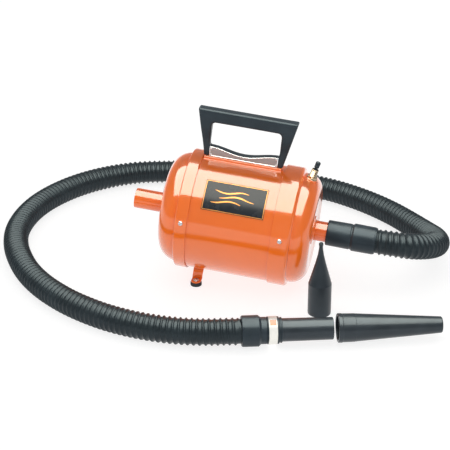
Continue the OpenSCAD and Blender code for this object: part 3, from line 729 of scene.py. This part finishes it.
def cap_outline(rim, shoulder, edge_r, corner_x, corner_r, face):
    """Outside of an end cap from its rim to the tube, then back along the inside, for x > 0."""
    top = DOME_R - corner_r
    tip_x, tip_r = face[1]
    return rounded(
        [(rim + LIP, SHELL_R + 0.05, 0.1), (rim + LIP, SHELL_R + LIP_GAP, 0.1),
         (rim, SHELL_R + LIP_GAP, 0.15), (rim, BAND_R, 0.8)]
        + [(*at, 0) for at in arc(shoulder - edge_r, BAND_R - edge_r, edge_r, 90, 0, 10)]
        + [(shoulder + 0.3, DOME_R + 0.3, 1.2)]
        + [(*at, 0) for at in arc(corner_x, top, corner_r, 90, 0, 22)]
        + [(*face[0], 3), (tip_x, tip_r, 6), (tip_x, TUBE_R + 0.05, 0.2),
           (tip_x - WALL, TUBE_R + 0.05, 0.2), (tip_x - WALL, tip_r, 6),
           (face[0][0] - WALL, face[0][1], 3)]
        + [(*at, 0) for at in arc(corner_x, top, corner_r - WALL, 0, 90, 16)]
        + [(shoulder - WALL, DOME_R - WALL, 1), (shoulder - WALL, SHELL_R + 0.05, 0.5)])


def make_end_caps():
    left = cap_outline(-LEFT_BAND[1], -LEFT_BAND[0], 2.4, 84, 30, [(115.2, 40), (116.2, 22)])
    piece("left_cap", turned(BODY, [(-x, r) for x, r in left], steps=256), "enamel",
          hides=["left_end_cap"])
    right = cap_outline(*RIGHT_BAND, 5, 98, 26, [(122, 46), (120.5, 26)])
    piece("right_cap", turned(BODY, right, steps=256), "enamel", hides=["right_end_cap"])
    boss = rounded([(-5.5, 0), (-5.5, 10.4, 1), (-1, 9.6, 1.5), (0.8, 9.2, 0.6), (0.8, 0)],
                   closed=False)
    piece("switch_boss", turned(SWITCH, boss, closed=False, steps=64), "enamel")


def make_air_tubes():
    inlet = rounded([(-165, TUBE_BORE, 0.5), (-165.0, TUBE_R - 0.1, 0.6), (-162.4, TUBE_R, 0.6),
                     (-117.7, TUBE_R, 0.2), (-117.6, TUBE_R - 0.2, 0.02),
                     (-114.6, TUBE_R - 0.2, 0.2), (-121, TUBE_BORE, 0.2)])
    piece("inlet_spout", turned(BODY, inlet), "enamel", hides=["inlet_tube"])
    outlet = rounded([(117, TUBE_BORE, 0.3), (117, TUBE_R, 0.3), (164, TUBE_R, 0.5),
                      (164, TUBE_BORE, 0.5)])
    piece("outlet_spout", turned(BODY, outlet), "enamel", hides=["outlet_tube"])
    collar = rounded([(120.4, TUBE_R + 0.05, 0.2), (120.4, 22.4, 0.5), (122.4, 22.4, 0.9),
                      (123.3, 17.4, 1.2), (125.2, TUBE_R + 0.1, 0.4)])
    piece("outlet_flange", turned(BODY, collar), "enamel", hides=["outlet_collar"])
    bead = rounded([(-118.0, TUBE_R + 0.1, 0.3), (-117.0, 17.2, 0.9), (-116.1, 17.8, 0.3),
                    (-116.1, TUBE_R + 0.1, 0.1)])
    piece("inlet_weld", turned(BODY, bead), "enamel")


# ---- screws ---------------------------------------------------------------

SCREW_SPOTS = [(sum(band) / 2, angle) for band in (LEFT_BAND, RIGHT_BAND)
               for angle in (9, 129, 249)]


def cross_screw(out_of, head_r, dome, depth, shank_r, slot_length):
    """A pan-head screw with a cross recess; X points out of the surface it sits on."""
    edge = 0.45
    profile = rounded([(-depth, 0), (-depth, shank_r, 0.3), (0, shank_r, 0.05), (0, head_r, 0.25),
                       (edge, head_r, 0.3)], closed=False)
    profile += [(edge + (dome - edge) * math.sin(a), head_r * math.cos(a) * 0.985)
                for a in [math.pi / 2 * k / 8 for k in range(1, 8)]] + [(dome, 0)]
    head = turned(out_of, profile, closed=False, steps=40)
    half, arm = slot_length / 2, 0.62
    outline = [(half, arm), (arm, arm), (arm, half), (-arm, half), (-arm, arm), (-half, arm),
               (-half, -arm), (-arm, -arm), (-arm, -half), (arm, -half), (arm, -arm), (half, -arm)]
    recess = [[(x, y, z) for y, z in outline] for x in (dome - 1.15, dome + 1)]
    return carved(head, solid(out_of, recess))


def radial_frame(x, angle, radius):
    """A frame on the canister at an angle above the front, whose X points straight out."""
    a = math.radians(angle)
    out = BODY.to_3x3() @ Vector((0, -math.cos(a), math.sin(a)))
    at = point(BODY, x, -radius * math.cos(a), radius * math.sin(a))
    return axis_frame(at, out, ALONG_BODY)


def make_screws():
    heads = [cross_screw(radial_frame(*spot, BAND_R), 3.5, 1.8, 6, 2, 3.8)
             for spot in SCREW_SPOTS]
    piece("band_screws", joined(heads), "bright_steel", hides=["cap_screws"], sharp=35)
    dimple = rounded([(0, 3.5, 0.05), (0, 5.0, 0.1), (0.3, 4.6, 0.15), (0.3, 3.5, 0.05)])
    cups = [turned(radial_frame(*spot, BAND_R - 0.15), dimple, steps=40) for spot in SCREW_SPOTS]
    piece("screw_dimples", joined(cups), "enamel")


# ---- name plate -----------------------------------------------------------

PLATE_X = (-46.5, 50.0)
PLATE_ANGLES = (25.9, 56.1)


def on_shell(x, angle, lift):
    """A point at an angle above the front, lifted off the shell."""
    a = math.radians(angle)
    radius = SHELL_R + lift
    return point(BODY, x, -radius * math.cos(a), radius * math.sin(a))


def curved_patch(bm, corners_x, corners_a, low, high, across=40, around=14):
    """A thin closed patch that follows the shell between two places and two angles."""
    xs = [corners_x[0] + (corners_x[1] - corners_x[0]) * k / across for k in range(across + 1)]
    angles = [corners_a[0] + (corners_a[1] - corners_a[0]) * k / around for k in range(around + 1)]
    edge = [(x, corners_a[0]) for x in xs[:-1]] + [(corners_x[1], a) for a in angles[:-1]]
    edge += [(x, corners_a[1]) for x in xs[:0:-1]] + [(corners_x[0], a) for a in angles[:0:-1]]
    top = grid(bm, [[on_shell(x, a, high) for x in xs] for a in angles], wrap_columns=False)
    rim = {}
    for i, a in enumerate(angles):
        for k, x in enumerate(xs):
            rim[(round(x, 4), round(a, 4))] = top[i][k]
    ring = [rim[(round(x, 4), round(a, 4))] for x, a in edge]
    foot = [bm.verts.new(on_shell(x, a, low)) for x, a in edge]
    walls(bm, ring, foot)
    bm.faces.new(foot)


def ribbon(bm, line, width, low, high):
    """A thin strip that follows a line of (x, angle) points over the shell."""
    scale = SHELL_R * math.radians(1)
    rows = []
    for i, (x, a) in enumerate(line):
        before, after = line[max(i - 1, 0)], line[min(i + 1, len(line) - 1)]
        on = Vector((after[0] - before[0], (after[1] - before[1]) * scale)).normalized()
        off = Vector((-on.y, on.x)) * (width(i / (len(line) - 1)) / 2)
        first = (x + off.x, a + off.y / scale)
        last = (x - off.x, a - off.y / scale)
        rows.append([on_shell(*first, low), on_shell(*first, high), on_shell(*last, high),
                     on_shell(*last, low)])
    rings = grid(bm, rows)
    bm.faces.new(rings[0])
    bm.faces.new(rings[-1])


def make_name_plate():
    """A black plate with a gold line round it and three plain streams of air."""
    plate = bmesh.new()
    curved_patch(plate, PLATE_X, PLATE_ANGLES, 0.02, 0.72)
    piece("plate_sheet", plate, "plate_black", hides=["name_plate"])
    trim = bmesh.new()
    inset, width = 1.3, 0.9
    low, high = 0.70, 0.80
    stream_rise, stream_swing, stream_run = 5.2, 1.5, 8.5
    deg = math.degrees(1 / SHELL_R)
    x0, x1 = PLATE_X[0] + inset, PLATE_X[1] - inset
    a0, a1 = PLATE_ANGLES[0] + inset * deg, PLATE_ANGLES[1] - inset * deg
    for a in (a0, a1):
        curved_patch(trim, (x0, x1), (a - width * deg / 2, a + width * deg / 2), low, high, 40, 1)
    for x in (x0, x1):
        curved_patch(trim, (x - width / 2, x + width / 2), (a0, a1), low, high - 0.01, 1, 14)
    middle = sum(PLATE_ANGLES) / 2
    for row, (start, end) in enumerate(((-30, 22), (-22, 32), (-34, 12))):
        line = []
        for k in range(37):
            x = start + (end - start) * k / 36
            line.append((x, middle + (1 - row) * stream_rise
                         + stream_swing * math.sin(x / stream_run + row)))
        ribbon(trim, line, lambda t: 0.35 + 1.9 * math.sin(math.pi * t) ** 0.7, low, high)
    piece("plate_print", trim, "gold_print")


# ---- handle ---------------------------------------------------------------

HANDLE_MID = -1.5
SADDLE_TOP = 95.8
SADDLE_HALF = 61.0
HANDLE_BASE = 62.0
HANDLE_TOP = 78.0
HANDLE_H = 172.0
GRIP_HALF = 54.6
GRIP_TOP = 152.0
BAR_TOP = 111.5
BAR_DIP = 7.5
BAR_DEPTH = 5.5
GRIP_DEPTH = 9.0
# Heights between which the handle deepens, and those of its straight inner and outer sides
DEEPER = (114, 148)
INNER_SIDE = (115.5, 145.5)
OUTER_SIDE = (99, 158)


def handle_depth(n):
    """Half depth of the handle at a height: slim at the base bar, deep at the grip."""
    share = min(1, max(0, (n - DEEPER[0]) / (DEEPER[1] - DEEPER[0])))
    return BAR_DEPTH + (GRIP_DEPTH - BAR_DEPTH) * share * share * (3 - 2 * share)


def hollow_top(x, half, top, dip):
    """Height of an edge that sinks by dip at its middle."""
    return top - dip * (0.5 + 0.5 * math.cos(math.pi * x / half))


def handle_stations():
    """Pairs of inner and outer points, in turn round the handle from the middle of its base."""
    half = GRIP_HALF - 3
    foot = SADDLE_TOP + 0.05
    right = []
    for k in range(13):
        x = half * k / 12
        right.append(((x, hollow_top(x, half, BAR_TOP, BAR_DIP)), (x * 1.02, foot)))
    right += [((half + 1.2, BAR_TOP + 0.5), (HANDLE_BASE - 3.2, foot)),
              ((GRIP_HALF - 0.7, BAR_TOP + 1.3), (HANDLE_BASE - 1.3, foot + 0.2)),
              ((GRIP_HALF - 0.2, BAR_TOP + 2.4), (HANDLE_BASE - 0.1, foot + 1.2)),
              ((GRIP_HALF, BAR_TOP + 3.6), (HANDLE_BASE + 0.5, foot + 3.2))]
    slope = (HANDLE_TOP - HANDLE_BASE) / (HANDLE_H - foot)
    for k in range(1, 11):
        t = k / 10
        inner = INNER_SIDE[0] + (INNER_SIDE[1] - INNER_SIDE[0]) * t
        outer = OUTER_SIDE[0] + (OUTER_SIDE[1] - OUTER_SIDE[0]) * t
        right.append(((GRIP_HALF, inner), (HANDLE_BASE + slope * (outer - foot), outer)))
    corner = 6.5
    outers = [(HANDLE_TOP - 2.1, 162.0), (HANDLE_TOP - 1.1, 166.8), (HANDLE_TOP - 0.5, 170.0),
              (HANDLE_TOP - 0.8, 171.6), (HANDLE_TOP - 2.0, HANDLE_H), (HANDLE_TOP - 5, HANDLE_H),
              (HANDLE_TOP - 11, HANDLE_H)]
    for k, outer in enumerate(outers):
        a = math.radians(90 * (k + 0.5) / len(outers))
        right.append(((GRIP_HALF - corner + corner * math.cos(a),
                       GRIP_TOP - corner + corner * math.sin(a)), outer))
    for k in range(1, 11):
        t = k / 10
        right.append((((GRIP_HALF - corner) * (1 - t), GRIP_TOP),
                      ((HANDLE_TOP - 14) * (1 - t), HANDLE_H)))
    left = [((-i[0], i[1]), (-o[0], o[1])) for i, o in right[-2:0:-1]]
    return right + left


def section_loop(width, depth_in, depth_out, radius):
    """Rounded rectangle in (u, v): u from 0 at the inner edge to width, v from front to back."""
    r = min(radius, width * 0.46)
    corners = [(r, -(depth_in - r), 180), (width - r, -(depth_out - r), 270),
               (width - r, depth_out - r, 0), (r, depth_in - r, 90)]
    return [at for u, v, start in corners for at in arc(u, v, r, start, start + 90, 6)]


def make_handle():
    sections = []
    for inner, outer in handle_stations():
        a, b = Vector(inner), Vector(outer)
        across = (b - a).normalized()
        loop = section_loop((b - a).length, handle_depth(a.y), handle_depth(b.y),
                            1.0 if b.y < 100 else 3.6)
        ring = []
        for u, v in loop:
            at = a + across * u
            ring.append((HANDLE_MID + at.x, v, at.y))
        sections.append(ring)
    piece("moulded_handle", solid(BODY, sections, wrap=True), "moulded_black",
          hides=["handle"], sharp=60)


TRIM_HALF = 54.0
TRIM_TOPS = (112.0, 111.3)
TRIM_DIPS = (8.5, 7.5)
TRIM_T = 1.2


def on_handle(x, y, z):
    """A point about the handle's middle."""
    return point(BODY, HANDLE_MID + x, y, z)


def trim_outline(inset, top, dip):
    """Edge of a trim plate: square ends, level base and a long hollow along the top."""
    half = TRIM_HALF - inset
    base = SADDLE_TOP + 0.3 + inset
    spans = 28
    level = [(half * (1 - 2 * k / spans), base) for k in range(spans + 1)]
    places = [-half + 2 * half * k / spans for k in range(spans + 1)]
    return level + [(x, hollow_top(x, TRIM_HALF, top, dip) - inset) for x in places]


def fill_between(bm, loop):
    """Fills a trim's outline between its base and its crest."""
    for k in range(len(loop) // 2 - 1):
        bm.faces.new([loop[k], loop[k + 1], loop[-k - 2], loop[-k - 1]])


def make_trims():
    """Two plates on the base bar, each with a bright raised rim round a satin field."""
    for name, side, hides in (("front_trim", -1, "handle_trim_front"),
                              ("rear_trim", 1, "handle_trim_rear")):
        top, dip = TRIM_TOPS[side > 0], TRIM_DIPS[side > 0]
        inner = BAR_DEPTH + 0.02
        outer = inner + TRIM_T
        steps = [(0.0, inner), (0.0, outer - 0.35), (0.12, outer - 0.1), (0.35, outer),
                 (1.15, outer), (1.4, outer - 0.12), (1.55, outer - 0.45)]
        bm = bmesh.new()
        rings = grid(bm, [[on_handle(x, side * v, n) for x, n in trim_outline(inset, top, dip)]
                          for inset, v in steps])
        fill_between(bm, rings[0])
        piece(name + "_rim", bm, "polished_edge", hides=[hides], sharp=50)
        field = bmesh.new()
        front, back = [[field.verts.new(on_handle(x, side * (outer - sunk), n))
                        for x, n in trim_outline(1.5, top, dip)] for sunk in (0.45, 0.6)]
        fill_between(field, front)
        fill_between(field, back)
        walls(field, front, back)
        piece(name + "_field", field, "satin_trim")
    profile = rounded([(-1, 0), (-1, 1.0, 0.2), (0, 1.0, 0.05), (0, 1.6, 0.15), (0.6, 1.3, 0.4),
                       (0.95, 0)], closed=False)
    pins = []
    for side in (-1, 1):
        for x in (-51, 51):
            for n in (98.8, 108.6):
                at = on_handle(x, side * (BAR_DEPTH + TRIM_T - 0.3), n)
                place = axis_frame(at, Vector((0, side, 0)), ALONG_BODY)
                pins.append(turned(place, profile, closed=False, steps=24))
    piece("trim_pins", joined(pins), "bright_steel", hides=["trim_rivets"])


def make_saddle():
    """The painted channel under the handle, its ends rounded down to the shell."""
    wide, flare = 9, 3.5
    bm = rounded_box(BODY, (HANDLE_MID - SADDLE_HALF, -wide, 86),
                     (HANDLE_MID + SADDLE_HALF, wide, SADDLE_TOP), 1.6)
    piece("saddle_channel", bm, "enamel", hides=["handle_saddle"])
    fillet = []
    steps = 10
    end = SADDLE_HALF - 0.5
    runs = (-end, -40, 0, 40, end)
    for side in (-1, 1):
        rows = []
        for k in range(steps + 1):
            t = k / steps
            v = wide + flare * (1 - t) ** 2
            n = math.sqrt(SHELL_R ** 2 - (wide + flare) ** 2) - 0.4 + 3.2 * t ** 2
            rows.append([on_handle(x, side * v, n) for x in runs])
        bm = bmesh.new()
        rings = grid(bm, rows, wrap_columns=False)
        inner = [bm.verts.new(on_handle(x, side * (wide - 0.5), 90.5)) for x in runs]
        for k in range(len(runs) - 1):
            bm.faces.new([rings[-1][k], rings[-1][k + 1], inner[k + 1], inner[k]])
            bm.faces.new([rings[0][k + 1], rings[0][k], inner[k], inner[k + 1]])
        for last in (0, -1):
            bm.faces.new([ring[last] for ring in rings] + [inner[last]])
        fillet.append(bm)
    piece("saddle_fillets", joined(fillet), "enamel")


# ---- feet -----------------------------------------------------------------

BRACKET_X = -46.8
STRAP_W = 16.0
STRAP_T = 2.3
LEG_Y = 34.0
FOOT_Y = 46.0
PAD_H = 6.0
PAD_R = 9.0


def strap_section(centre, wide, thick, half_width, radius=0.8):
    """A rounded flat section; wide and thick are unit directions, sizes in millimetres."""
    loop = []
    half_t = STRAP_T / 2
    for u, v, start in ((1, 1, 0), (-1, 1, 90), (-1, -1, 180), (1, -1, 270)):
        for k in range(4):
            a = math.radians(start + 30 * k)
            across = u * (half_width - radius) + radius * math.cos(a)
            through = v * (half_t - radius) + radius * math.sin(a)
            loop.append(centre + wide * across + thick * through)
    return loop


def make_bracket():
    """One bent strap: an ear on each rubber foot, two legs and a cradle under the barrel."""
    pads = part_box("foot_pads")
    foot_x = (pads[0].x + pads[1].x) / 2 / MM
    seat_y = (pads[0].y + pads[1].y) / 2 / MM
    body = BODY.to_3x3()
    centre_r = SHELL_R + 0.05 + STRAP_T / 2
    ear_z = PAD_H + STRAP_T / 2
    seat = BODY.translation / MM
    path = []
    flat_x = Vector((1, 0, 0))
    for k in range(10):
        a = math.pi / 2 * (1 - k / 9)
        y = FOOT_Y + STRAP_W / 2 * math.sin(a)
        half = max(STRAP_W / 2 * math.cos(a), 0.9)
        path.append((Vector((foot_x, seat_y - y, ear_z)), flat_x, UP, half))
    bend = 4.0
    leg = LEG_Y + STRAP_T / 2
    for k in range(7):
        a = math.radians(90 * k / 6)
        y = leg + bend - bend * math.sin(a)
        z = ear_z + bend - bend * math.cos(a)
        thick = Vector((0, math.sin(a), math.cos(a)))
        path.append((Vector((foot_x, seat_y - y, z)), flat_x, thick, STRAP_W / 2))
    top_n = -math.sqrt(centre_r ** 2 - leg ** 2)
    join = body @ Vector((BRACKET_X, -leg, top_n - 3.5)) + seat
    path.append((join, ALONG_BODY, Vector((0, 1, 0)), STRAP_W / 2))
    rim = math.degrees(math.asin(leg / centre_r))
    cradle = []
    for k in range(15):
        a = math.radians(-rim * (1 - k / 14) * 0.985)
        out = body @ Vector((0, math.sin(a), -math.cos(a)))
        cradle.append((body @ Vector((BRACKET_X, 0, 0)) + seat + out * centre_r, ALONG_BODY, -out,
                       STRAP_W / 2))
    front = path + cradle
    back = [(Vector((centre.x, 2 * seat_y - centre.y, centre.z)), wide,
             Vector((thick.x, -thick.y, thick.z)), half)
            for centre, wide, thick, half in front[-2::-1]]
    sections = [[BODY.inverted() @ (p * MM) / MM for p in strap_section(*stop)]
                for stop in front + back]
    piece("foot_strap", solid(BODY, sections), "enamel", hides=["foot_bracket"],
          sharp=50)
    make_feet(foot_x, seat_y)


def make_feet(foot_x, seat_y):
    pads, screws = [], []
    for side in (-1, 1):
        at = (foot_x * MM, (seat_y + side * FOOT_Y) * MM, 0)
        stand = axis_frame(at, UP)
        profile = rounded([(0, 0), (0, 4.2, 0.5), (0.5, 5.4, 0.4), (0, 6.6, 0.4), (0, 8.6, 0.7),
                           (1.4, PAD_R, 0.8), (3.1, PAD_R, 0.3), (3.5, PAD_R - 0.5, 0.2),
                           (3.9, PAD_R, 0.3), (PAD_H, PAD_R - 0.1, 0.6), (PAD_H, 0)], closed=False)
        pads.append(turned(stand, profile, closed=False, steps=64))
        over = axis_frame((at[0], at[1], (PAD_H + STRAP_T) * MM), UP)
        washer = rounded([(0, 2.1, 0.1), (0, 5.4, 0.2), (0.7, 5.4, 0.2), (0.7, 2.1, 0.1)])
        screws.append(turned(over, washer, steps=40))
        head = axis_frame((at[0], at[1], (PAD_H + STRAP_T + 0.72) * MM), UP)
        screws.append(cross_screw(head, 4.1, 2.2, 4, 2, 4.6))
    piece("rubber_feet", joined(pads), "soft_rubber", hides=["foot_pads"])
    piece("feet_screws", joined(screws), "bright_steel", hides=["foot_screws"],
          sharp=35)
    rivets = []
    for angle in (-12, 12):
        a = math.radians(angle)
        out = BODY.to_3x3() @ Vector((0, math.sin(a), -math.cos(a)))
        at = point(BODY, BRACKET_X, 0, 0) + out * (SHELL_R + STRAP_T + 0.1) * MM
        place = axis_frame(at, out, ALONG_BODY)
        profile = rounded([(-5, 0), (-5, 1.9, 0.2), (0, 1.9, 0.05), (0, 3.7, 0.2), (0.6, 3.5, 0.6),
                           (1.25, 0)], closed=False)
        rivets.append(turned(place, profile, closed=False, steps=32))
    piece("strap_rivets", joined(rivets), "bright_steel", hides=["bracket_rivets"])


# ---- switch and grommet ---------------------------------------------------


def threaded(start, end, major, minor, pitch):
    """Corners of a bushing's thread, as rings."""
    corners = []
    x = start
    while x + pitch <= end:
        corners += [(x, minor, 0.05), (x + pitch * 0.5, major, 0.08)]
        x += pitch
    return corners + [(x, minor, 0.05)]


def make_switch():
    bushing = rounded([(-8, 4.2, 0.2), (-8, 5.3, 0.3)] + threaded(-7, 15.2, 5.5, 5.05, 1.1)
                      + [(15.8, 5.5, 0.3), (17, 5.3, 0.5), (17, 4.2, 0.4)])
    piece("threaded_bushing", turned(SWITCH, bushing, steps=64), "switch_brass",
          hides=["switch_bushing"])
    washer = rounded([(0.85, 5.6, 0.1), (0.85, 8.8, 0.2), (1.7, 8.8, 0.25), (1.7, 5.6, 0.1)])
    nut = bmesh.new()
    rows = []
    levels = [(1.75, 7.0), (1.95, 7.6), (2.3, 9.0), (4.3, 9.0), (4.75, 7.7), (4.95, 6.4)]
    sides, half_across = 72, 7.35
    for x, limit in levels:
        row = []
        for k in range(sides):
            a = 2 * math.pi * k / sides
            flat = (a % (math.pi / 3)) - math.pi / 6
            radius = min(half_across / math.cos(flat), limit)
            row.append(point(SWITCH, x, radius * math.cos(a), radius * math.sin(a)))
        rows.append(row)
    rows += [circle(SWITCH, x, 5.6, sides) for x in (4.95, 1.75)]
    grid(nut, rows, wrap_rows=True)
    whole = joined([turned(SWITCH, washer, steps=64), nut])
    piece("hex_nut", whole, "switch_brass", hides=["switch_nut"], sharp=25)
    throw = math.radians(12)
    pivot = Vector(JOINTS["switch_toggle"]["pos_m"])
    up = (switch_up * math.cos(throw) + BACK * math.sin(throw)).normalized()
    lever = axis_frame(pivot, up, lever_axis)
    profile = rounded([(-3.3, 0), (-3.2, 1.4, 0.5), (-1.6, 2.9, 0.8), (1.2, 3.1, 0.8),
                       (3.4, 2.4, 0.8), (6.4, 2.4, 0.5), (7.6, 3.9, 0.5), (9.4, 3.9, 0.4),
                       (9.9, 3.55, 0.2), (10.4, 3.9, 0.3), (15.4, 4.0, 0.6), (17, 2.7, 0.8),
                       (17.1, 0)], closed=False)
    piece("toggle_lever", turned(lever, profile, closed=False, steps=48), "moulded_black",
          hides=["switch_lever"], body="lever")


def make_grommet():
    place = radial_frame(40, 180, 0)
    profile = rounded([(86.5, 3.6, 0.4), (86.5, 7.9, 0.5), (89.8, 7.9, 0.3), (89.9, 6.0, 0.1),
                       (92.1, 6.0, 0.1), (92.1, 8.9, 0.6), (93.4, 8.6, 0.6), (93.9, 7.2, 0.4),
                       (94.7, 7.6, 0.4), (95.2, 6.6, 0.3), (96.0, 6.9, 0.4), (97.0, 5.9, 0.5),
                       (97.0, 3.6, 0.4)])
    piece("ribbed_grommet", turned(place, profile, steps=64), "soft_rubber",
          hides=["cord_grommet"])


# ---- all together ---------------------------------------------------------


def dress_cad_nodes():
    """Every CAD node gets the material of its slot, the hidden motor parts among them."""
    for part in frame["record"]["subparts"]:
        mesh = frame["nodes"][part["node"]].data
        mesh.materials.clear()
        mesh.materials.append(MATERIALS[part["material_slot"]])


make_camera()
hose, hose_path, hose_length = make_hose()
outlet_cuff = make_outlet_cuff()
wand_cuff = make_wand_cuff()
on_wand = make_wand()
make_studio()
make_taper_nozzle()
make_cone_nozzle()
make_shell()
make_end_caps()
make_air_tubes()
make_screws()
make_name_plate()
make_handle()
make_trims()
make_saddle()
make_bracket()
make_switch()
make_grommet()
dress_cad_nodes()
